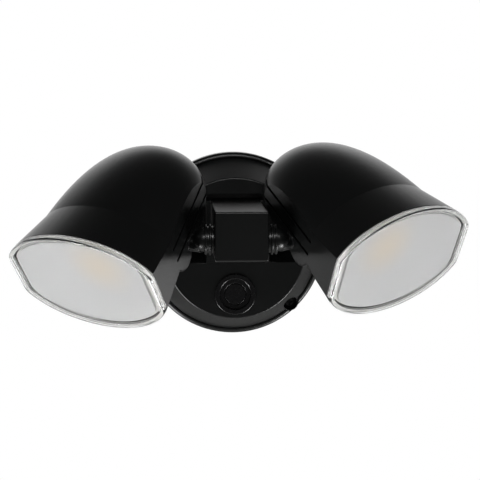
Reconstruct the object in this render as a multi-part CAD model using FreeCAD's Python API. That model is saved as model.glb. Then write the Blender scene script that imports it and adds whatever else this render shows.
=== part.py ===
# Twin-head LED security light with a round wall base and a motion sensor window.
# Millimetres.  +Z is up, the wall is the plane y = 0, and the light looks along -Y.
# Photo right is +X.  Both heads are built the same way round and the left one is mirrored in X.

import FreeCAD
import Part
import math
import os

V = FreeCAD.Vector
ORIGIN = V(0, 0, 0)
X_AXIS = V(1, 0, 0)
Y_AXIS = V(0, 1, 0)
Z_AXIS = V(0, 0, 1)
TO_FRONT = V(0, -1, 0)
RUNNING_GAP = 0.05

# Sizes of the base.
GASKET_DEPTH = 2.4
FLANGE_RADIUS = 63.0
FLANGE_FRONT_Y = -12.0
FLANGE_EDGE = 2.8
REBATE_RADIUS = 59.6
REBATE_Y = -9.4
HOUSING_FLOOR_Y = -4.6
HOUSING_CAVITY_RADIUS = 56.6
COVER_BASE_RADIUS = 59.2
COVER_BACK_Y = -10.6
COVER_FACE_RADIUS = 47.3
COVER_FACE_Y = -38.5
COVER_WALL = 2.4
TROUGH_FLOOR_Y = -25.5
TROUGH_LOW_Z = -9.4
TROUGH_HIGH_Z = 36.8
RAMP_SLOPE = 0.8
LEDGE_EDGE = 0.8
SCREW_X = 39.3
SCREW_Z = -41.3
POCKET_RADIUS = 5.2
POCKET_FLOOR_Y = -7.0
POCKET_BOSS_RADIUS = 7.2
LUG_RADIUS = 6.0
LUG_FRONT_Y = -12.4
LUG_BACK_Y = -4.7
LUG_GAP = 0.3
LOOP_RADIUS = 8.4
COVER_SCREW_RADIUS = 2.0
COVER_SCREW_HEAD = 3.9
BLOCK_HALF_WIDTH = 16.5
BLOCK_LOW_Z = 1.8
BLOCK_HIGH_Z = 32.4
BLOCK_FRONT_Y = -112.4
BLOCK_WALL = 3.0
BLOCK_EDGE = 1.2
BLOCK_SCREW_X = 10.2
BLOCK_SCREW_LOW_Z = 8.0
BLOCK_SCREW_HIGH_Z = 26.2
BLOCK_POST_RADIUS = 3.4
BLOCK_SCREW_RADIUS = 1.5
BLOCK_BACK_Y = TROUGH_FLOOR_Y - RUNNING_GAP
BLOCK_SEAT_Y = TROUGH_FLOOR_Y + COVER_WALL + RUNNING_GAP
FOOT_HALF_WIDTH = 19.4
FOOT_FRONT_Y = -41.0
FOOT_LOW_Z = TROUGH_LOW_Z + 0.3
FOOT_RAMP_TOP_Z = FOOT_LOW_Z + (BLOCK_BACK_Y - COVER_FACE_Y) * RAMP_SLOPE
BLOCK_WIRE_HOLE_RADIUS = 4.5
BLOCK_WIRE_HOLE_Z = 16.3
BRACKET_THICKNESS = 2.0
BRACKET_RADIUS = 60.9
BRACKET_WIDTH = 20.0
BRACKET_BORE_RADIUS = 18.0
BRACKET_DISC_RADIUS = 24.5
BOX_HOLE_SPACING = 88.9
BOX_HOLE_RADIUS = 2.4
GROUND_Z = 21.0
GROUND_SCREW_RADIUS = 1.65
GROUND_CLEAR_RADIUS = 4.4
SENSOR_Z = -30.9
BEZEL_RADIUS = 13.8
WINDOW_RADIUS = 10.4
WINDOW_STEP_RADIUS = 7.0
SENSOR_BOARD_Y = COVER_FACE_Y + 13.0
SENSOR_POST_X = 18.3
INLET_RADIUS = 9.0
INLET_Z = -8.0
CABLE_RADIUS = 3.8
DRIVER_BACK_Y = -9.0
DRIVER_FRONT_Y = DRIVER_BACK_Y - 1.7
DRIVER_POST_X = 31.0
DRIVER_POST_LOW_Z = 1.0
DRIVER_POST_HIGH_Z = 26.0

# Sizes of a head, in its own frame: X outward, Y away from the lens, Z up, mouth at y = 0.
MOUTH_HALF_WIDTH = 55.2
CONE_HALF_WIDTH = 49.6
CONE_LENGTH = 29.0
CONE_SLOPE = (MOUTH_HALF_WIDTH - CONE_HALF_WIDTH) / CONE_LENGTH
DOME_SHOULDER_Y = 80.0
DOME_CROWN_X = 36.4
HEAD_LENGTH = 112.0
HEIGHT_RATIO = 0.682
FLAT_X = 51.0
FLAT_SLOPE = 0.138
SHELL_WALL = 2.6
INNER_FLAT_WALL = 6.0
OUTER_FLAT_WALL = 3.0
GROOVE_Z = 4.5
GROOVE_WIDTH = 1.7
GROOVE_DEPTH = 3.2
GROOVE_START = 29.0
GROOVE_END = 104.0
LOBE_Y = 39.6
LOBE_Z = -4.8
LOBE_RADIUS = 14.1
LOBE_DEPTH = 12.0
CAP_BACK_Y = -0.6
CAP_FRONT_Y = -4.2
CAP_WALL = 2.0
CAP_CORNER = 8.0
CAP_EDGE = 1.2
DIFFUSER_INSET = 4.6
DIFFUSER_CORNER = 12.0
REFLECTOR_INSET = 3.4
BOWL_FRONT = 44.5
BOWL_BACK = 20.5
BOWL_WALL = 1.1
LED_BOARD_Y = 21.4
LED_BOARD_DEPTH = 1.6
SINK_FRONT_Y = LED_BOARD_Y + LED_BOARD_DEPTH + RUNNING_GAP
SHELF_Y = 27.0
POST_X = 31.0
POST_Z = 21.0
POST_RADIUS = 4.0
FIN_PITCH = 5.2
FIN_HALF_WIDTH = 0.9
BOSS_RADIUS = 8.4
BOSS_FACE = 6.8
BOSS_END = 16.0

# Arms and the pose they are shown in.
STUB_Y = -100.6
STUB_Z = 14.1
ELBOW_X = 23.8
ELBOW_DROP = 2.7
ELBOW_ANGLE = 31.0
PIVOT_Y = 50.2
PIVOT_Z = -10.6
NECK_REACH = 7.7
RIGHT_SWIVEL = 16.5
RIGHT_TILT = 15.4
LEFT_SWIVEL = 5.7
LEFT_TILT = 32.9
STUB_RADIUS = 6.0
SLEEVE_RADIUS = 7.0
SLEEVE_START = BLOCK_HALF_WIDTH + 0.35
KNUCKLE_RADIUS = 7.4
KNUCKLE_X = ELBOW_X - 1.5
COLLAR_RADIUS = 8.4
THREAD_RADIUS = 5.0
NECK_RADIUS = 5.4
SPIGOT_RADIUS = 4.2
LEAD_HOLE_RADIUS = 2.2

os.makedirs("parts", exist_ok=True)


def disc(radius, back_y, front_y, x=0.0, z=0.0):
    return Part.makeCylinder(radius, back_y - front_y, V(x, back_y, z), TO_FRONT)


def ring(outer, inner, back_y, front_y, x=0.0, z=0.0):
    return disc(outer, back_y, front_y, x, z).cut(disc(inner, back_y + 1, front_y - 1, x, z))


def block(x0, x1, y0, y1, z0, z1):
    return Part.makeBox(x1 - x0, y1 - y0, z1 - z0, V(x0, y0, z0))


def rod(radius, x0, x1, y=0.0, z=0.0):
    return Part.makeCylinder(radius, x1 - x0, V(x0, y, z), X_AXIS)


def hexagon(across_flats, x0, x1):
    corner = across_flats / math.sqrt(3)
    points = []
    for step in range(7):
        angle = math.radians(60 * step)
        points.append(V(x0, corner * math.cos(angle), corner * math.sin(angle)))
    return Part.Face(Part.makePolygon(points)).extrude(V(x1 - x0, 0, 0))


def pan_screw(head_radius, head_height, shank_radius, shank_length, seat_y, x, z):
    # The head stands in front of its seat and the shank runs back from it.
    face_y = seat_y - head_height
    head = disc(head_radius, seat_y, face_y)
    rim = [e for e in head.Edges if abs(e.CenterOfMass.y - face_y) < 0.01]
    head = head.makeFillet(head_height * 0.45, rim)
    reach = head_radius * 0.62
    slot_floor = seat_y - head_height * 0.5
    cross = block(-reach, reach, face_y - 1, slot_floor, -0.5, 0.5)
    cross = cross.fuse(block(-0.5, 0.5, face_y - 1, slot_floor, -reach, reach))
    screw = head.cut(cross).fuse(disc(shank_radius, seat_y + shank_length, seat_y))
    screw.translate(V(x, 0, z))
    return screw.removeSplitter().Solids[0]


def keep(name, shape):
    shape = shape.removeSplitter()
    if len(shape.Solids) != 1 or not shape.isValid():
        raise RuntimeError("%s has %d solids" % (name, len(shape.Solids)))
    solid = shape.Solids[0]
    solid.exportStep("parts/%s.step" % name)
    print(name, "volume %.0f" % solid.Volume)
    return solid


def keep_group(name, solids):
    Part.makeCompound(solids).exportStep("parts/%s.step" % name)
    print(name, "pieces", len(solids))
    return solids


# Wall side of the base: foam ring, bracket, rear housing.
keep("wall_gasket", ring(62.6, 61.2, 0.0, -GASKET_DEPTH))

screw_places = [(SCREW_X, SCREW_Z), (-SCREW_X, -SCREW_Z)]
bracket = block(-BRACKET_RADIUS, BRACKET_RADIUS, -BRACKET_THICKNESS, 0,
                -BRACKET_WIDTH / 2, BRACKET_WIDTH / 2)
diagonal = bracket.copy()
diagonal.rotate(ORIGIN, Y_AXIS, math.degrees(math.atan2(-SCREW_Z, SCREW_X)))
bracket = bracket.fuse(diagonal).fuse(disc(BRACKET_DISC_RADIUS, 0, -BRACKET_THICKNESS))
bracket = bracket.common(disc(BRACKET_RADIUS, 0, -BRACKET_THICKNESS))
bracket = bracket.cut(disc(BRACKET_BORE_RADIUS, 1, -BRACKET_THICKNESS - 1))
for side in (-1, 1):
    bracket = bracket.cut(disc(BOX_HOLE_RADIUS, 1, -5, side * BOX_HOLE_SPACING / 2))
for x, z in screw_places:
    bracket = bracket.cut(disc(COVER_SCREW_RADIUS + RUNNING_GAP, 1, -5, x, z))
bracket = bracket.cut(disc(GROUND_SCREW_RADIUS + RUNNING_GAP, 1, -5, 0, GROUND_Z))
keep("mounting_bracket", bracket)
keep("ground_screw", pan_screw(3.4, 1.9, GROUND_SCREW_RADIUS, 1.9, -BRACKET_THICKNESS, 0, GROUND_Z))

housing = disc(FLANGE_RADIUS, -GASKET_DEPTH, FLANGE_FRONT_Y)
rim = [e for e in housing.Edges if abs(e.CenterOfMass.y - FLANGE_FRONT_Y) < 0.01]
housing = housing.makeFillet(FLANGE_EDGE, rim)
housing = housing.cut(disc(REBATE_RADIUS, REBATE_Y, FLANGE_FRONT_Y - 1))
housing = housing.cut(disc(HOUSING_CAVITY_RADIUS, HOUSING_FLOOR_Y, FLANGE_FRONT_Y - 1))
for x, z in screw_places:
    pad = disc(LOOP_RADIUS, HOUSING_FLOOR_Y + 0.5, REBATE_Y, x, z)
    housing = housing.fuse(pad.common(disc(REBATE_RADIUS, 0, -20)))
    housing = housing.cut(disc(LUG_RADIUS + LUG_GAP, LUG_BACK_Y + 0.05, -20, x, z))
    housing = housing.cut(disc(COVER_SCREW_RADIUS + 0.4, 1, -20, x, z))
housing = housing.cut(disc(INLET_RADIUS, 1, -20, 0, INLET_Z))
housing = housing.cut(disc(GROUND_CLEAR_RADIUS, 1, -20, 0, GROUND_Z))
board_posts = [(x, z) for x in (-DRIVER_POST_X, DRIVER_POST_X)
               for z in (DRIVER_POST_LOW_Z, DRIVER_POST_HIGH_Z)]
for x, z in board_posts:
    housing = housing.fuse(disc(3.0, HOUSING_FLOOR_Y + 0.5, DRIVER_BACK_Y, x, z))
    housing = housing.cut(disc(1.1, -5.2, -20, x, z))
keep("base_housing", housing)
cover_gasket = ring(59.0, 57.4, REBATE_Y, COVER_BACK_Y)
for x, z in screw_places:
    loop = disc(LOOP_RADIUS - 0.1, REBATE_Y, COVER_BACK_Y, x, z).common(disc(59.0, REBATE_Y, COVER_BACK_Y))
    cover_gasket = cover_gasket.fuse(loop)
for x, z in screw_places:
    cover_gasket = cover_gasket.cut(disc(LUG_RADIUS + LUG_GAP + 0.1, 0, -20, x, z))
keep("cover_gasket", cover_gasket)

grommet = disc(INLET_RADIUS - 0.1, -2.5, -8.0, 0, INLET_Z)
grommet = grommet.fuse(disc(INLET_RADIUS + 2.0, HOUSING_FLOOR_Y - 0.05, -6.6, 0, INLET_Z))
grommet = grommet.cut(disc(CABLE_RADIUS, 0, -20, 0, INLET_Z))
keep("cable_grommet", grommet)


# Front cover: a cone with a flat face, crossed by a channel that holds the arm block.
def cone_body(inset, back_y, face_y):
    slope = (COVER_BASE_RADIUS - COVER_FACE_RADIUS) / (FLANGE_FRONT_Y - COVER_FACE_Y)
    base_radius = COVER_BASE_RADIUS - inset
    face_radius = base_radius - slope * (FLANGE_FRONT_Y - face_y)
    body = Part.makeCone(base_radius, face_radius, FLANGE_FRONT_Y - face_y,
                         V(0, FLANGE_FRONT_Y, 0), TO_FRONT)
    return body.fuse(disc(base_radius, back_y, FLANGE_FRONT_Y))


def channel(grow):
    floor_y = TROUGH_FLOOR_Y + grow
    low_z = TROUGH_LOW_Z - grow * math.hypot(1, RAMP_SLOPE)
    ramp = (floor_y - COVER_FACE_Y) * RAMP_SLOPE
    high_z = TROUGH_HIGH_Z + grow
    corners = [(COVER_FACE_Y, low_z), (floor_y, low_z + ramp), (floor_y, high_z),
               (-60.0, high_z), (-60.0, low_z)]
    points = [V(-80, y, z) for y, z in corners]
    points.append(points[0])
    return Part.Face(Part.makePolygon(points)).extrude(V(160, 0, 0))


cover = cone_body(0, COVER_BACK_Y, COVER_FACE_Y)
rim = [e for e in cover.Edges if abs(e.CenterOfMass.y - COVER_FACE_Y) < 0.01]
cover = cover.makeFillet(1.0, rim)
cover = cover.cut(channel(0))
ledge = [e for e in cover.Edges if abs(e.CenterOfMass.y - COVER_FACE_Y) < 0.01
         and abs(e.CenterOfMass.z - TROUGH_LOW_Z) < 0.01]
cover = cover.makeFillet(LEDGE_EDGE, ledge)
hollow = cone_body(COVER_WALL, COVER_BACK_Y + 1, COVER_FACE_Y + COVER_WALL).cut(channel(COVER_WALL))
for x, z in screw_places:
    hollow = hollow.cut(disc(POCKET_BOSS_RADIUS, 5, -60, x, z))
cover = cover.cut(hollow)
for x, z in screw_places:
    cover = cover.fuse(disc(LUG_RADIUS, LUG_BACK_Y, LUG_FRONT_Y, x, z))
    cover = cover.cut(disc(POCKET_RADIUS, POCKET_FLOOR_Y, -60, x, z))
    cover = cover.cut(disc(COVER_SCREW_RADIUS + 0.3, 5, -60, x, z))
cover = cover.cut(disc(BEZEL_RADIUS + RUNNING_GAP, 5, -60, 0, SENSOR_Z))
block_screws = []
for x in (-BLOCK_SCREW_X, BLOCK_SCREW_X):
    for z in (BLOCK_SCREW_LOW_Z, BLOCK_SCREW_HIGH_Z):
        block_screws.append((x, z))
        cover = cover.cut(disc(BLOCK_SCREW_RADIUS + 0.2, TROUGH_FLOOR_Y + 8, TROUGH_FLOOR_Y - 5, x, z))
cover = cover.cut(disc(BLOCK_WIRE_HOLE_RADIUS, TROUGH_FLOOR_Y + 8, TROUGH_FLOOR_Y - 5,
                       0, BLOCK_WIRE_HOLE_Z))
sensor_posts = [(-SENSOR_POST_X, SENSOR_Z), (SENSOR_POST_X, SENSOR_Z)]
for x, z in sensor_posts:
    cover = cover.fuse(disc(2.6, SENSOR_BOARD_Y - 0.05, COVER_FACE_Y + 1.0, x, z))
    cover = cover.cut(disc(1.15, SENSOR_BOARD_Y + 1, SENSOR_BOARD_Y - 7, x, z))
keep("front_cover", cover)

keep_group("cover_screws", [pan_screw(COVER_SCREW_HEAD, 3.0, COVER_SCREW_RADIUS, 6.6, POCKET_FLOOR_Y, x, z)
                            for x, z in screw_places])

# Arm block: a hollow box standing on the channel floor.
arm_block = block(-BLOCK_HALF_WIDTH, BLOCK_HALF_WIDTH, BLOCK_FRONT_Y, BLOCK_BACK_Y,
                  BLOCK_LOW_Z, BLOCK_HIGH_Z)
long_edges = [e for e in arm_block.Edges if e.BoundBox.YLength > 20]
front_edges = [e for e in arm_block.Edges if e.BoundBox.YMax < BLOCK_FRONT_Y + 1]
arm_block = arm_block.makeFillet(BLOCK_EDGE, long_edges + front_edges)
# The foot of the block fills the channel down to the ledge and follows the ramp.
foot_outline = [V(-FOOT_HALF_WIDTH, y, z) for y, z in
                ((FOOT_FRONT_Y, FOOT_LOW_Z), (COVER_FACE_Y, FOOT_LOW_Z), (BLOCK_BACK_Y, FOOT_RAMP_TOP_Z),
                 (BLOCK_BACK_Y, BLOCK_HIGH_Z), (FOOT_FRONT_Y, BLOCK_HIGH_Z), (FOOT_FRONT_Y, FOOT_LOW_Z))]
foot = Part.Face(Part.makePolygon(foot_outline)).extrude(V(2 * FOOT_HALF_WIDTH, 0, 0))
arm_block = arm_block.fuse(foot)
arm_block = arm_block.cut(block(-BLOCK_HALF_WIDTH + BLOCK_WALL, BLOCK_HALF_WIDTH - BLOCK_WALL,
                                BLOCK_FRONT_Y + BLOCK_WALL, 0,
                                BLOCK_LOW_Z + BLOCK_WALL, BLOCK_HIGH_Z - BLOCK_WALL))
for x, z in block_screws:
    post = disc(BLOCK_POST_RADIUS, BLOCK_BACK_Y, TROUGH_FLOOR_Y - 18, x, z)
    arm_block = arm_block.fuse(post)
    arm_block = arm_block.cut(disc(BLOCK_SCREW_RADIUS + RUNNING_GAP, 0, TROUGH_FLOOR_Y - 13, x, z))
arm_block = arm_block.cut(rod(STUB_RADIUS + RUNNING_GAP, -30, 30, STUB_Y, STUB_Z))
keep("arm_block", arm_block)


def back_screw(head_radius, head_height, shank_radius, shank_length, seat_y, x, z):
    # A screw driven towards the front from inside the cover.
    screw = pan_screw(head_radius, head_height, shank_radius, shank_length, 0, 0, 0)
    screw.rotate(ORIGIN, Z_AXIS, 180)
    screw.translate(V(x, seat_y, z))
    return screw


keep_group("arm_block_screws", [back_screw(2.9, 1.9, BLOCK_SCREW_RADIUS, 12.0, BLOCK_SEAT_Y, x, z)
                                for x, z in block_screws])

# Motion sensor behind its round window.
bezel = ring(BEZEL_RADIUS, WINDOW_RADIUS, COVER_FACE_Y + 4.4, COVER_FACE_Y - 0.8, 0, SENSOR_Z)
rim = [e for e in bezel.Edges if abs(e.CenterOfMass.y - COVER_FACE_Y + 0.8) < 0.01]
bezel = bezel.makeFillet(0.5, rim)
bezel = bezel.fuse(ring(BEZEL_RADIUS + 1.0, WINDOW_RADIUS + 1.0, COVER_FACE_Y + 4.4,
                        COVER_FACE_Y + COVER_WALL + 0.6, 0, SENSOR_Z))
keep("sensor_bezel", bezel)
keep("sensor_seal", ring(BEZEL_RADIUS + 0.9, BEZEL_RADIUS + 0.1, COVER_FACE_Y + COVER_WALL + 0.55,
                         COVER_FACE_Y + COVER_WALL + 0.05, 0, SENSOR_Z))
window = disc(WINDOW_RADIUS - 0.05, COVER_FACE_Y + 2.2, COVER_FACE_Y + 0.4, 0, SENSOR_Z)
window = window.cut(ring(WINDOW_STEP_RADIUS + 0.5, WINDOW_STEP_RADIUS, COVER_FACE_Y + 0.9,
                         COVER_FACE_Y, 0, SENSOR_Z))
keep("sensor_window", window)
sensor_board = block(-21, 21, SENSOR_BOARD_Y, SENSOR_BOARD_Y + 1.6, SENSOR_Z - 8, SENSOR_Z + 9)
for x, z in sensor_posts:
    sensor_board = sensor_board.cut(disc(1.4, SENSOR_BOARD_Y + 3, SENSOR_BOARD_Y - 3, x, z))
keep("sensor_board", sensor_board)
keep_group("sensor_screws", [back_screw(2.2, 1.4, 1.1, 6.0, SENSOR_BOARD_Y + 1.65, x, z)
                             for x, z in sensor_posts])
can = disc(4.1, SENSOR_BOARD_Y - 0.05, SENSOR_BOARD_Y - 4.6, 0, SENSOR_Z)
can = can.fuse(disc(4.6, SENSOR_BOARD_Y - 0.05, SENSOR_BOARD_Y - 0.7, 0, SENSOR_Z))
keep("sensor_can", can)

# LED driver on the housing posts.
driver = block(-35, 35, DRIVER_BACK_Y - 1.65, DRIVER_BACK_Y - 0.05, -3, 30)
for x, z in board_posts:
    driver = driver.cut(disc(1.5, 0, -20, x, z))
keep("driver_board", driver)
keep_group("driver_screws", [pan_screw(2.4, 1.5, 1.05, 3.8, DRIVER_FRONT_Y, x, z)
                             for x, z in board_posts])
core = block(-9, 9, DRIVER_FRONT_Y - 9.4, DRIVER_FRONT_Y, 4, 21)
keep("driver_transformer", core)
keep_group("driver_capacitors", [disc(4.0, DRIVER_FRONT_Y, DRIVER_FRONT_Y - 9.0, x, 18) for x in (-18, 18)])
terminals = block(-12, 12, -16.5, HOUSING_FLOOR_Y - 0.05, -37, -29)
for x in (-8, 0, 8):
    terminals = terminals.cut(disc(1.6, -10, -20, x, -33))
    terminals = terminals.cut(Part.makeCylinder(1.5, 6, V(x, -11, -30), Z_AXIS))
keep("terminal_block", terminals)


# Head outline: a round profile turned about the head's length and flattened in height.
def head_body(inset, front_y, inner_flat, outer_flat):
    mouth = MOUTH_HALF_WIDTH - inset
    neck = CONE_HALF_WIDTH - inset
    tip = HEAD_LENGTH - inset
    front = mouth - CONE_SLOPE * front_y
    dome = Part.BezierCurve()
    dome.setPoles([V(neck, CONE_LENGTH, 0), V(neck, DOME_SHOULDER_Y - inset, 0),
                   V(DOME_CROWN_X - inset, tip, 0), V(0, tip, 0)])
    side = Part.makeLine(V(front, front_y, 0), V(neck, CONE_LENGTH, 0))
    mouth_line = Part.makeLine(V(0, front_y, 0), V(front, front_y, 0))
    centre = Part.makeLine(V(0, tip, 0), V(0, front_y, 0))
    face = Part.Face(Part.Wire([mouth_line, side, dome.toShape(), centre]))
    body = face.revolve(ORIGIN, Y_AXIS, 360)
    squeeze = FreeCAD.Matrix()
    squeeze.scale(1, 1, (MOUTH_HALF_WIDTH * HEIGHT_RATIO - inset) / mouth)
    body = body.transformGeometry(squeeze)
    body = body.cut(flat_cutter(-1, inner_flat))
    return body.cut(flat_cutter(1, outer_flat))


def flat_cutter(side, inset):
    # Everything outside one flat; the flats lean inward towards the back of the head.
    lean = math.degrees(math.atan(FLAT_SLOPE))
    half_space = block(0, 60, -120, 220, -60, 60)
    half_space.rotate(ORIGIN, Z_AXIS, lean)
    half_space.translate(V(FLAT_X - inset, 0, 0))
    if side < 0:
        half_space = half_space.mirror(ORIGIN, X_AXIS)
    return half_space


def on_flat(shape):
    # Moves a shape drawn on the plane x = 0 (head side is +X) onto the inner flat.
    shape.rotate(ORIGIN, Z_AXIS, -math.degrees(math.atan(FLAT_SLOPE)))
    shape.translate(V(-FLAT_X, 0, 0))
    return shape


def spigot_axis(shape):
    # Moves a shape drawn about the X axis so that x = 0 falls on the elbow centre.
    flat_at_pivot = FLAT_X - FLAT_SLOPE * PIVOT_Y
    shape.translate(V(-flat_at_pivot - NECK_REACH, PIVOT_Y, PIVOT_Z))
    return shape


# Head shell: the outer form less the cavity, with the pivot lobe, its boss and the sink's posts.
head_outer = head_body(0, 0, 0, 0)
lobe = rod(LOBE_RADIUS, 0, LOBE_DEPTH, LOBE_Y, LOBE_Z)
rim = [e for e in lobe.Edges if abs(e.CenterOfMass.x) < 0.01]
head_outer = head_outer.fuse(on_flat(lobe.makeFillet(1.0, rim)))
cavity = head_body(SHELL_WALL, -1.0, INNER_FLAT_WALL, OUTER_FLAT_WALL)
shell = head_outer.cut(cavity)
inner_boss = spigot_axis(rod(BOSS_RADIUS, 10, BOSS_END))
shelf_posts = []
for x in (-POST_X, POST_X):
    for z in (-POST_Z, POST_Z):
        post = disc(POST_RADIUS, 52, SHELF_Y, x, z).common(head_outer)
        shelf_posts.append((x, z))
        shell = shell.fuse(post)
shell = shell.fuse(inner_boss)
shell = shell.fuse(spigot_axis(rod(NECK_RADIUS, BOSS_FACE, 10)))
for x, z in shelf_posts:
    shell = shell.cut(disc(1.25, SHELF_Y + 10, SHELF_Y - 1, x, z))
for side in (-1, 1):
    z = side * GROOVE_Z
    groove = block(-2, GROOVE_DEPTH, GROOVE_START, GROOVE_END, z - GROOVE_WIDTH / 2, z + GROOVE_WIDTH / 2)
    groove = groove.fuse(rod(GROOVE_WIDTH / 2, -2, GROOVE_DEPTH, GROOVE_START, z))
    shell = shell.cut(on_flat(groove))
shell = shell.cut(spigot_axis(rod(SPIGOT_RADIUS + RUNNING_GAP, 0, BOSS_END + 5)))


def slab(front_y, back_y, inset, inner_flat, outer_flat, corner=0):
    # A flat plate with the head's outline: an ellipse with a straight cut at each side.
    middle_y = (front_y + back_y) / 2
    half_width = MOUTH_HALF_WIDTH - CONE_SLOPE * middle_y
    flat_x = FLAT_X - FLAT_SLOPE * middle_y
    long_half = half_width - inset
    short_half = half_width * HEIGHT_RATIO - inset
    outline = Part.Ellipse(V(long_half, front_y, 0), V(0, front_y, short_half), V(0, front_y, 0))
    plate = Part.Face(Part.Wire([outline.toShape()])).extrude(V(0, back_y - front_y, 0))
    plate = plate.common(block(inner_flat - flat_x, flat_x - outer_flat, front_y - 1, back_y + 1, -60, 60))
    if corner == 0:
        return plate
    corners = [e for e in plate.Edges if e.BoundBox.XLength < 0.01 and e.BoundBox.ZLength < 0.01
               and abs(e.CenterOfMass.z) > 1]
    return plate.makeFillet(corner, corners)


gasket = slab(CAP_BACK_Y + 0.02, -0.02, 0.6, 0.6, 0.6)
gasket = gasket.cut(slab(-2, 2, 2.5, INNER_FLAT_WALL - 0.2, OUTER_FLAT_WALL - 0.2))

cap = slab(CAP_FRONT_Y, CAP_BACK_Y, 0.2, 0.2, 0.2, CAP_CORNER)
rim = [e for e in cap.Edges if e.BoundBox.YMax < CAP_FRONT_Y + 0.01]
cap = cap.makeFillet(CAP_EDGE, rim)
cap = cap.cut(slab(CAP_FRONT_Y + CAP_WALL, 5, 2.4, 2.4, 2.4, CAP_CORNER - 2))

diffuser = slab(-1.2, 0.2, DIFFUSER_INSET, INNER_FLAT_WALL + 1.4, OUTER_FLAT_WALL + 2.0, DIFFUSER_CORNER)


def bowl(inset, front_y, back_y):
    slope = (BOWL_FRONT - BOWL_BACK) / (LED_BOARD_Y - 0.3)
    front = BOWL_FRONT - inset - slope * (front_y - 0.3)
    back = BOWL_FRONT - inset - slope * (back_y - 0.3)
    body = Part.makeCone(front, back, back_y - front_y, V(0, front_y, 0), Y_AXIS)
    squeeze = FreeCAD.Matrix()
    squeeze.scale(1, 1, HEIGHT_RATIO)
    return body.transformGeometry(squeeze)


reflector = slab(0.3, 1.3, REFLECTOR_INSET, INNER_FLAT_WALL + 0.4, OUTER_FLAT_WALL + 0.6)
reflector = reflector.fuse(bowl(0, 0.6, 20.6)).cut(bowl(BOWL_WALL, -1, 23))

led_board = disc(19.0, LED_BOARD_Y + LED_BOARD_DEPTH, LED_BOARD_Y)
led_emitter = disc(10.5, LED_BOARD_Y - 0.05, LED_BOARD_Y - 1.0)

heat_sink = slab(SINK_FRONT_Y, SHELF_Y - 0.05, SHELL_WALL + 0.8,
                 INNER_FLAT_WALL + 0.8, OUTER_FLAT_WALL + 0.8)
for step in range(-3, 4):
    fin_z = step * FIN_PITCH
    heat_sink = heat_sink.fuse(block(-24, 24, SHELF_Y - 1, SHELF_Y + 14,
                                     fin_z - FIN_HALF_WIDTH, fin_z + FIN_HALF_WIDTH))
for x, z in shelf_posts:
    heat_sink = heat_sink.cut(disc(1.7, 60, 0, x, z))


def forward_screw(x, z):
    return pan_screw(2.9, 1.9, 1.2, 12.0, SINK_FRONT_Y - 0.05, x, z)


sink_screws = [forward_screw(x, z) for x, z in shelf_posts]
seal = spigot_axis(rod(NECK_RADIUS, 6.15, BOSS_FACE - 0.02).cut(rod(SPIGOT_RADIUS + RUNNING_GAP, 6, 9)))

# Arm pieces, drawn about the stub axis with the elbow turned straight.
elbow_core = Part.makeSphere(KNUCKLE_RADIUS, V(KNUCKLE_X, 0, 0))
sleeve = rod(SLEEVE_RADIUS, SLEEVE_START, KNUCKLE_X)
stub = rod(STUB_RADIUS, 13.3, SLEEVE_START + 0.5).fuse(rod(THREAD_RADIUS, 5.2, 14))
spigot_run = rod(NECK_RADIUS, 0, 5.85).fuse(rod(SPIGOT_RADIUS, 0, 23.6))
lead_hole = rod(LEAD_HOLE_RADIUS, 0, 30)
for piece in (spigot_run, lead_hole):
    piece.rotate(ORIGIN, Z_AXIS, ELBOW_ANGLE)
    piece.translate(V(ELBOW_X, 0, -ELBOW_DROP))
elbow = stub.fuse(sleeve).fuse(elbow_core).fuse(spigot_run)
lead_way = lead_hole.fuse(rod(LEAD_HOLE_RADIUS, 0, ELBOW_X - 0.5))
lead_way = lead_way.fuse(Part.makeSphere(LEAD_HOLE_RADIUS + 1.4, V(ELBOW_X - 0.5, 0, -ELBOW_DROP / 2)))
elbow = elbow.cut(lead_way)

collar = rod(COLLAR_RADIUS, SLEEVE_START, SLEEVE_START + 5.6)
for start, radius in ((SLEEVE_START + 1.4, 9.6), (SLEEVE_START + 4.0, 9.4)):
    rib = rod(radius, start, start + 1.4)
    collar = collar.fuse(rib.makeFillet(0.5, [e for e in rib.Edges if e.BoundBox.XLength < 0.01]))
collar = collar.cut(rod(SLEEVE_RADIUS + RUNNING_GAP, 10, 30))
collar = collar.cut(rod(KNUCKLE_RADIUS + RUNNING_GAP, SLEEVE_START + 2.8, 30))

swivel_washer = rod(7.6, 11.9, 13.1).cut(rod(THREAD_RADIUS + RUNNING_GAP, 0, 30))
swivel_nut = hexagon(13.0, 6.4, 11.85).cut(rod(THREAD_RADIUS + RUNNING_GAP, 0, 30))


def about_spigot(shape):
    shape.rotate(ORIGIN, Z_AXIS, ELBOW_ANGLE)
    shape.translate(V(ELBOW_X, 0, -ELBOW_DROP))
    return shape


tilt_washer = about_spigot(rod(7.0, 16.3, 17.2).cut(rod(SPIGOT_RADIUS + RUNNING_GAP, 0, 30)))
tilt_nut = about_spigot(hexagon(11.0, 17.25, 22.6).cut(rod(SPIGOT_RADIUS + RUNNING_GAP, 0, 30)))


def placed(shape, side, swivel, tilt, is_head):
    # Head shapes go to the spigot axis first; both kinds then swing about the stub axis.
    shape = shape.copy()
    if is_head:
        shape.translate(V(FLAT_X - FLAT_SLOPE * PIVOT_Y + NECK_REACH, -PIVOT_Y, -PIVOT_Z))
        shape.rotate(ORIGIN, X_AXIS, tilt)
        shape.rotate(ORIGIN, Z_AXIS, ELBOW_ANGLE)
        shape.translate(V(ELBOW_X, 0, -ELBOW_DROP))
    shape.rotate(ORIGIN, X_AXIS, swivel)
    shape.translate(V(0, STUB_Y, STUB_Z))
    if side < 0:
        shape = shape.mirror(ORIGIN, X_AXIS)
    return shape


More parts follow.
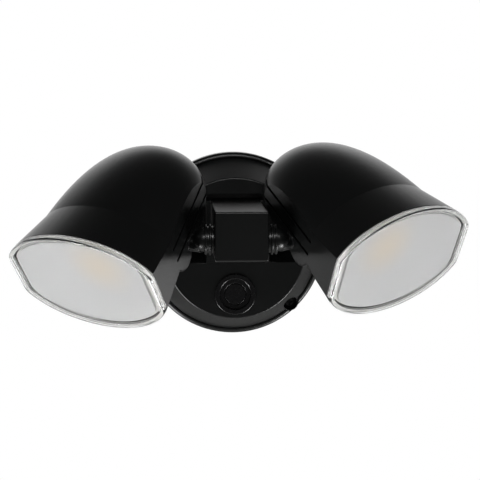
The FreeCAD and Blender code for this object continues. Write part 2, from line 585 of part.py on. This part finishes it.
head_pieces = {"head_shell": shell, "lens_gasket": gasket, "lens_cap": cap, "diffuser": diffuser,
               "reflector": reflector, "led_board": led_board, "led_emitter": led_emitter,
               "heat_sink": heat_sink, "head_seal": seal}
arm_pieces = {"arm_elbow": elbow, "arm_collar": collar, "swivel_washer": swivel_washer,
              "swivel_nut": swivel_nut, "tilt_washer": tilt_washer, "tilt_nut": tilt_nut}
for prefix, side, swivel, tilt in (("left", -1, LEFT_SWIVEL, LEFT_TILT),
                                   ("right", 1, RIGHT_SWIVEL, RIGHT_TILT)):
    for name, shape in head_pieces.items():
        keep("%s_%s" % (prefix, name), placed(shape, side, swivel, tilt, True))
    for name, shape in arm_pieces.items():
        keep("%s_%s" % (prefix, name), placed(shape, side, swivel, tilt, False))
    keep_group("%s_sink_screws" % prefix,
               [placed(s, side, swivel, tilt, True).Solids[0] for s in sink_screws])
print("done")
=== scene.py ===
# %% [markdown]
# # Twin-head LED security light, black, seen from the front and a little above
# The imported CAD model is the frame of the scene: every piece has its real shape and place already.
# Each step below gives one group of pieces the finish of the real thing, then come the camera, the
# lights and the white room. Lengths are metres, +Z is up, the wall is y = 0 and the light looks
# along -Y.

# %% Load the frame
import bpy
import math
from mathutils import Matrix, Vector


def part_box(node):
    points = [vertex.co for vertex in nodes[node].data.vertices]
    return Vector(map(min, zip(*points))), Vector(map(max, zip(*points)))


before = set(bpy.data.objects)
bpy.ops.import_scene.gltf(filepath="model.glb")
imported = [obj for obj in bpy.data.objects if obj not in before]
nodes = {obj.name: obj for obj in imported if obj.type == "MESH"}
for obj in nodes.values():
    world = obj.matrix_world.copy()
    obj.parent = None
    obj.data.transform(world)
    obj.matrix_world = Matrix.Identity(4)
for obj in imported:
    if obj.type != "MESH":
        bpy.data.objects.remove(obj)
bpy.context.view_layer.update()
scene = bpy.context.scene
scene.view_settings.view_transform = "Standard"

# %% [markdown]
# Colours are written as sRGB hex, as a paint chart gives them, and one function turns them into the
# linear values that shaders add up. A second adds a node with its settings and links, and a third
# makes a plain material. The last two put a material on pieces, by name, and name a piece of both
# heads or arms at once.

# %% Colour and node helpers
MILLIMETRE = 0.001
SIDES = ("left", "right")


def linear(hex_colour):
    parts = [int(hex_colour[i:i + 2], 16) / 255 for i in (1, 3, 5)]
    return [c / 12.92 if c <= 0.04045 else ((c + 0.055) / 1.055) ** 2.4 for c in parts] + [1.0]


def add(tree, kind, links=(), **values):
    # A value is a setting of the node if it has one by that name, and else an input's value.
    node = tree.nodes.new(kind)
    for name, value in values.items():
        if hasattr(node, name):
            setattr(node, name, value)
        else:
            node.inputs[name.replace("_", " ")].default_value = value
    for source, target in links:
        tree.links.new(source, node.inputs[target])
    return node


def plain(name, colour, roughness, metallic=0.0, specular=0.5):
    material = bpy.data.materials.new(name)
    material.use_nodes = True
    shader = material.node_tree.nodes["Principled BSDF"]
    shader.inputs["Base Color"].default_value = linear(colour)
    shader.inputs["Roughness"].default_value = roughness
    shader.inputs["Metallic"].default_value = metallic
    shader.inputs["Specular IOR Level"].default_value = specular
    return material


def dress(material, *names):
    for name in names:
        nodes[name].data.materials.clear()
        nodes[name].data.materials.append(material)
    print(material.name + ":", len(names), "nodes")


def both(*names):
    return [side + "_" + name for side in SIDES for name in names]


print("helpers ready")

# %% [markdown]
# A moulded or cast surface is never quite even. A fine noise, with a grain size given in
# millimetres, moves the normal a little and varies the roughness, and a Bevel node rounds the look
# of the sharp edges so that they catch the light as real edges do. Both only shade: the shape stays
# the CAD shape.

# %% Grain and soft edges
BEVEL_SAMPLES = 6
NOISE_DETAIL = 3.0


def grainy(material, grain_mm, depth_mm, strength, rough_low, rough_high, edge_mm=0.4):
    tree = material.node_tree
    shader = tree.nodes["Principled BSDF"]
    place = add(tree, "ShaderNodeTexCoord")
    grain = add(tree, "ShaderNodeTexNoise", [(place.outputs["Object"], "Vector")],
                Scale=1 / (grain_mm * MILLIMETRE), Detail=NOISE_DETAIL)
    soft_edge = add(tree, "ShaderNodeBevel", samples=BEVEL_SAMPLES, Radius=edge_mm * MILLIMETRE)
    bump = add(tree, "ShaderNodeBump", [(grain.outputs["Fac"], "Height"),
                                        (soft_edge.outputs["Normal"], "Normal")],
               Strength=strength, Distance=depth_mm * MILLIMETRE)
    # The noise lies nearly all between 0.3 and 0.7.
    spread = add(tree, "ShaderNodeMapRange", [(grain.outputs["Fac"], "Value")],
                 From_Min=0.3, From_Max=0.7, To_Min=rough_low, To_Max=rough_high)
    tree.links.new(bump.outputs["Normal"], shader.inputs["Normal"])
    tree.links.new(spread.outputs["Result"], shader.inputs["Roughness"])
    return material


print("grain ready")

# %% [markdown]
# The base, the block, the arms and the two heads are die-cast aluminium with a satin black powder
# coat. Powder melts to a skin with a very fine orange peel, about 1 mm from hump to hump. It is
# almost black face on and turns grey where it is seen edge on, which draws the soft light edges on
# the heads.

# %% Black powder coat
powder_coat = grainy(plain("satin black powder coat on cast aluminium", "#0A0B0B", 0.32, specular=0.4),
                     grain_mm=0.9, depth_mm=0.05, strength=0.12, rough_low=0.28, rough_high=0.36)
dress(powder_coat, "base_housing", "front_cover", "arm_block",
      *both("head_shell", "arm_elbow", "arm_collar"))

# %% [markdown]
# The cover screws are steel with a thin black oxide film. It is smoother than powder, so it is
# glossier, and the metal below makes its reflection stronger.

# %% Black oxide screws
black_oxide = grainy(plain("black oxide steel", "#101010", 0.3, specular=0.6),
                     grain_mm=0.5, depth_mm=0.02, strength=0.1, rough_low=0.26, rough_high=0.34,
                     edge_mm=0.3)
dress(black_oxide, "cover_screws")

# %% [markdown]
# The motion sensor looks out through a black plastic window that lets heat rays pass. It is
# moulded in black polyethylene with shallow rings, and its bezel is drawn in the same plastic. Both
# are smoother than the paint around them, so their ring edges show as thin bright arcs.

# %% Sensor window and bezel
sensor_plastic = grainy(plain("moulded black polyethylene", "#0C0C0D", 0.24, specular=0.5),
                        grain_mm=1.6, depth_mm=0.03, strength=0.08, rough_low=0.2, rough_high=0.28,
                        edge_mm=0.5)
dress(sensor_plastic, "sensor_bezel", "sensor_window")

# %% [markdown]
# The seals and the cable grommet are moulded black silicone rubber, and the ring against the wall
# is closed-cell foam. Rubber is dull, so its roughness is high, and the foam shows its cells, drawn
# 0.8 mm wide. The gasket behind each lens cap is white silicone, which shows through the clear rim
# as a wide light band.

# %% Rubber and foam
rubber = grainy(plain("moulded black silicone rubber", "#151617", 0.7, specular=0.4),
                grain_mm=0.6, depth_mm=0.05, strength=0.25, rough_low=0.62, rough_high=0.78)
foam = grainy(plain("closed-cell black foam", "#1B1C1D", 0.85, specular=0.2),
              grain_mm=0.8, depth_mm=0.3, strength=0.6, rough_low=0.8, rough_high=0.95)
white_silicone = grainy(plain("moulded white silicone rubber", "#E6E6E3", 0.6, specular=0.4),
                        grain_mm=0.6, depth_mm=0.03, strength=0.15, rough_low=0.52, rough_high=0.68)
dress(rubber, "cover_gasket", "cable_grommet", "sensor_seal", *both("head_seal"))
dress(foam, "wall_gasket")
dress(white_silicone, *both("lens_gasket"))

# %% [markdown]
# Each head is closed by a cap of clear moulded polycarbonate with a rounded rim. It is polished, so
# its roughness is close to zero. Its faint waves, drawn 6 mm long, and its high refraction turn the
# white gasket and the white room behind it into a bright, slightly uneven band round the diffuser.

# %% Clear lens cap
POLYCARBONATE_IOR = 1.59
clear_cap = plain("clear moulded polycarbonate", "#FFFFFF", 0.04)
cap_shader = clear_cap.node_tree.nodes["Principled BSDF"]
cap_shader.inputs["Transmission Weight"].default_value = 1.0
cap_shader.inputs["IOR"].default_value = POLYCARBONATE_IOR
grainy(clear_cap, grain_mm=6.0, depth_mm=0.01, strength=0.1, rough_low=0.03, rough_high=0.05)
dress(clear_cap, *both("lens_cap"))

# %% [markdown]
# Behind the cap lies a frosted acrylic diffuser. It is light grey-white, and where the yellow
# phosphor of the LED lies behind it a faint warm patch shows through. The patch is a soft round
# gradient in each head. Its centre lies where someone in front sees the emitter through the
# diffuser: 30 mm straight ahead of the emitter's own centre, which is read from the frame.

# %% Frosted diffuser
PATCH_AHEAD = 30 * MILLIMETRE
PATCH_RADIUS = 27 * MILLIMETRE
FROSTED_WHITE = "#DADADA"
WARM_WHITE = "#E4DACB"
for side in SIDES:
    frosted = plain(side + " frosted acrylic diffuser", FROSTED_WHITE, 0.5)
    tree = frosted.node_tree
    low, high = (Vector(corner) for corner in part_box(side + "_led_emitter"))
    centre = (low + high) / 2 + Vector((0, -PATCH_AHEAD, 0))
    place = add(tree, "ShaderNodeTexCoord")
    reach = add(tree, "ShaderNodeVectorMath", [(place.outputs["Object"], 0)], operation="DISTANCE")
    reach.inputs[1].default_value = centre
    fade = add(tree, "ShaderNodeMapRange", [(reach.outputs["Value"], "Value")],
               interpolation_type="SMOOTHSTEP", From_Min=0.0, From_Max=PATCH_RADIUS,
               To_Min=0.0, To_Max=1.0)
    # In a Mix node that mixes colours, the two colours are inputs 6 and 7 and the result is output 2.
    tint = add(tree, "ShaderNodeMix", [(fade.outputs["Result"], 0)], data_type="RGBA")
    tint.inputs[6].default_value = linear(WARM_WHITE)
    tint.inputs[7].default_value = linear(FROSTED_WHITE)
    tree.links.new(tint.outputs[2], tree.nodes["Principled BSDF"].inputs["Base Color"])
    grainy(frosted, grain_mm=0.6, depth_mm=0.02, strength=0.15, rough_low=0.45, rough_high=0.55)
    dress(frosted, side + "_diffuser")
    print(side, "patch centre", [round(v, 3) for v in centre])

# %% [markdown]
# The reflector bowls and the terminal block are white ABS, moulded and slightly glossy.

# %% White plastic
white_abs = grainy(plain("moulded white ABS", "#E4E4E0", 0.35),
                   grain_mm=1.2, depth_mm=0.03, strength=0.1, rough_low=0.3, rough_high=0.4)
dress(white_abs, *both("reflector"), "terminal_block")

# %% [markdown]
# The wall bracket, washers, nuts and inner screws are zinc plated steel: a pale metal with fine
# crystals, drawn 2 mm wide. The heat sinks and LED boards are bare cast aluminium, a little duller.

# %% Zinc and aluminium
zinc = grainy(plain("zinc plated steel", "#B9BAB8", 0.34, metallic=1.0),
              grain_mm=2.0, depth_mm=0.02, strength=0.1, rough_low=0.26, rough_high=0.42,
              edge_mm=0.3)
aluminium = grainy(plain("bare cast aluminium", "#B4B5B6", 0.42, metallic=1.0),
                   grain_mm=0.8, depth_mm=0.06, strength=0.2, rough_low=0.36, rough_high=0.5)
dress(zinc, "mounting_bracket", "arm_block_screws", "sensor_screws", "sensor_can", "driver_screws",
      *both("swivel_washer", "swivel_nut", "tilt_washer", "tilt_nut", "sink_screws"))
dress(aluminium, *both("heat_sink", "led_board"))

# %% [markdown]
# Inside the base are two glass fibre boards with green solder resist, black moulded parts and a
# green ground screw; inside each head is the LED with its yellow phosphor resin.

# %% Boards and small parts
board = grainy(plain("green solder resist on glass fibre", "#1E5A32", 0.45),
               grain_mm=1.0, depth_mm=0.02, strength=0.15, rough_low=0.4, rough_high=0.5)
phosphor = grainy(plain("yellow phosphor resin", "#E0B450", 0.6),
                  grain_mm=0.5, depth_mm=0.05, strength=0.2, rough_low=0.5, rough_high=0.7)
epoxy = grainy(plain("moulded black epoxy", "#1C1C1C", 0.5),
               grain_mm=0.7, depth_mm=0.03, strength=0.15, rough_low=0.45, rough_high=0.6)
ground_green = grainy(plain("green lacquered steel", "#2C7A3C", 0.4),
                      grain_mm=0.6, depth_mm=0.02, strength=0.1, rough_low=0.35, rough_high=0.45)
dress(board, "sensor_board", "driver_board")
dress(phosphor, *both("led_emitter"))
dress(epoxy, "driver_transformer", "driver_capacitors")
dress(ground_green, "ground_screw")

# %% [markdown]
# The photograph was taken from about 0.83 m, 7 degrees above the light and 3 degrees to its left.
# These numbers make the round base, the sensor ring and the lens outlines fall where the
# photograph has them.

# %% Camera
FOCAL_PX = 1180.0
PHOTO_PX = 480.0
ELEVATION = math.radians(7.25)
AZIMUTH = math.radians(3.33)
CAMERA_PLACE = Vector((-0.0423, -0.8191, 0.1053))
SENSOR_MM = 36.0
NEAREST_SEEN = 0.05
look = Vector((math.sin(AZIMUTH) * math.cos(ELEVATION), math.cos(AZIMUTH) * math.cos(ELEVATION),
               -math.sin(ELEVATION)))
right = Vector((math.cos(AZIMUTH), -math.sin(AZIMUTH), 0))
up = right.cross(look)
camera = bpy.data.objects.new("camera", bpy.data.cameras.new("camera"))
scene.collection.objects.link(camera)
turn = Matrix((right, up, -look)).transposed()
camera.matrix_world = Matrix.Translation(CAMERA_PLACE) @ turn.to_4x4()
camera.data.sensor_width = SENSOR_MM
camera.data.lens = FOCAL_PX / PHOTO_PX * SENSOR_MM
camera.data.clip_start = NEAREST_SEEN
scene.camera = camera
print("camera at", [round(v, 3) for v in CAMERA_PLACE], "lens", round(camera.data.lens, 1))

# %% [markdown]
# Black things are lit by what they mirror. The key box stands high in front: the flat face of the
# base mirrors the dark room below it, while rounded edges and rings catch it as thin bright lines.
# Two boxes stand low at the sides, where the lenses look, and light the diffusers without showing
# in the flat face. Powers are in watts.

# %% Lights
AIM = Vector((0, -0.07, 0))
LOW_SIDE = 0.52
LOW_SIZE = 0.35
LOW_POWER = 6.8


def soft_box(name, place, width, height, power):
    data = bpy.data.lights.new(name, "AREA")
    data.shape = "RECTANGLE"
    data.size = width
    data.size_y = height
    data.energy = power
    light = bpy.data.objects.new(name, data)
    light.location = place
    light.rotation_mode = "QUATERNION"
    light.rotation_quaternion = (Vector(place) - AIM).to_track_quat("Z", "Y")
    scene.collection.objects.link(light)


soft_box("key box", (0.0, -1.1, 0.68), width=0.6, height=0.12, power=5)
soft_box("left low box", (-LOW_SIDE, -0.28, -0.62), LOW_SIZE, LOW_SIZE, LOW_POWER)
soft_box("right low box", (LOW_SIDE, -0.28, -0.62), LOW_SIZE, LOW_SIZE, LOW_POWER)

# %% [markdown]
# A pale floor lies 0.8 m below the light. To the camera it is plain white, as in the photograph.
# To all other rays it is a pale matt surface that takes light and shadow.

# %% Floor
FLOOR_Z = -0.8
FLOOR_HALF = 3.0
corners = [(-FLOOR_HALF, -FLOOR_HALF, FLOOR_Z), (FLOOR_HALF, -FLOOR_HALF, FLOOR_Z),
           (FLOOR_HALF, FLOOR_HALF, FLOOR_Z), (-FLOOR_HALF, FLOOR_HALF, FLOOR_Z)]
floor_mesh = bpy.data.meshes.new("floor")
floor_mesh.from_pydata(corners, [], [(0, 1, 2, 3)])
floor = bpy.data.objects.new("floor", floor_mesh)
scene.collection.objects.link(floor)
floor_paint = plain("pale matt floor paint", "#E4E4E2", 0.8, specular=0.2)
tree = floor_paint.node_tree
shader = tree.nodes["Principled BSDF"]
white = add(tree, "ShaderNodeEmission", Strength=1.0)
ray = add(tree, "ShaderNodeLightPath")
mix = add(tree, "ShaderNodeMixShader", [(ray.outputs["Is Camera Ray"], 0), (shader.outputs[0], 1),
                                        (white.outputs[0], 2)])
tree.links.new(mix.outputs[0], tree.nodes["Material Output"].inputs["Surface"])
floor_mesh.materials.append(floor_paint)
print("floor at z", FLOOR_Z)

# %% [markdown]
# The room is dark in front, overhead and towards the floor. A bright panel stands at each side and
# a paler wall behind, brightest in the middle. Seen edge on, the paint mirrors the wall, which
# gives the heads their soft grey outlines, and the inner flats mirror the panels; face on the paint
# mirrors the dark front. The camera sees plain white, and so do rays through the clear caps.

# %% World
ROOM_DARK = 0.06
# Each part of the room: its level, and its soft limits as (axis, where it starts, where it is full).
ROOM_PARTS = {
    "wall": (0.25, [("behind", 0.3, 0.8), ("upward", 0.75, 0.5)]),
    "middle of the wall": (1.1, [("behind", 0.3, 0.6), ("sideways", 0.6, 0.2), ("upward", 0.72, 0.5),
                                 ("upward", -0.6, -0.3)]),
    "side panels": (1.6, [("behind", -0.05, 0.2), ("behind", 0.9, 0.6), ("upward", 0.35, 0.1),
                          ("upward", -0.75, -0.45)]),
}
world = bpy.data.worlds.new("studio")
world.use_nodes = True
scene.world = world
tree = world.node_tree
tree.nodes.clear()
direction = add(tree, "ShaderNodeTexCoord")
split = add(tree, "ShaderNodeSeparateXYZ", [(direction.outputs["Generated"], "Vector")])
sideways = add(tree, "ShaderNodeMath", [(split.outputs["X"], 0)], operation="ABSOLUTE").outputs[0]
axes = {"sideways": sideways, "behind": split.outputs["Y"], "upward": split.outputs["Z"]}
level = add(tree, "ShaderNodeValue").outputs[0]
level.default_value = ROOM_DARK
for amount, limits in ROOM_PARTS.values():
    # Each limit ends at what the one before it gives, so that together they multiply.
    part = None
    for axis, start, full in limits:
        fade = add(tree, "ShaderNodeMapRange", [(axes[axis], "Value")],
                   interpolation_type="SMOOTHSTEP", From_Min=start, From_Max=full,
                   To_Min=0.0, To_Max=amount)
        if part is not None:
            tree.links.new(part, fade.inputs["To Max"])
        part = fade.outputs["Result"]
    level = add(tree, "ShaderNodeMath", [(part, 0), (level, 1)], operation="ADD").outputs[0]
room = add(tree, "ShaderNodeBackground", [(level, "Strength")], Color=linear("#FFFFFF"))
white = add(tree, "ShaderNodeBackground", Color=linear("#FFFFFF"), Strength=1.0)
ray = add(tree, "ShaderNodeLightPath")
seen = add(tree, "ShaderNodeMath", [(ray.outputs["Is Camera Ray"], 0),
                                    (ray.outputs["Is Transmission Ray"], 1)], operation="MAXIMUM")
mix = add(tree, "ShaderNodeMixShader", [(seen.outputs[0], 0), (room.outputs[0], 1),
                                        (white.outputs[0], 2)])
add(tree, "ShaderNodeOutputWorld", [(mix.outputs[0], "Surface")])
print("room parts:", ", ".join(ROOM_PARTS))
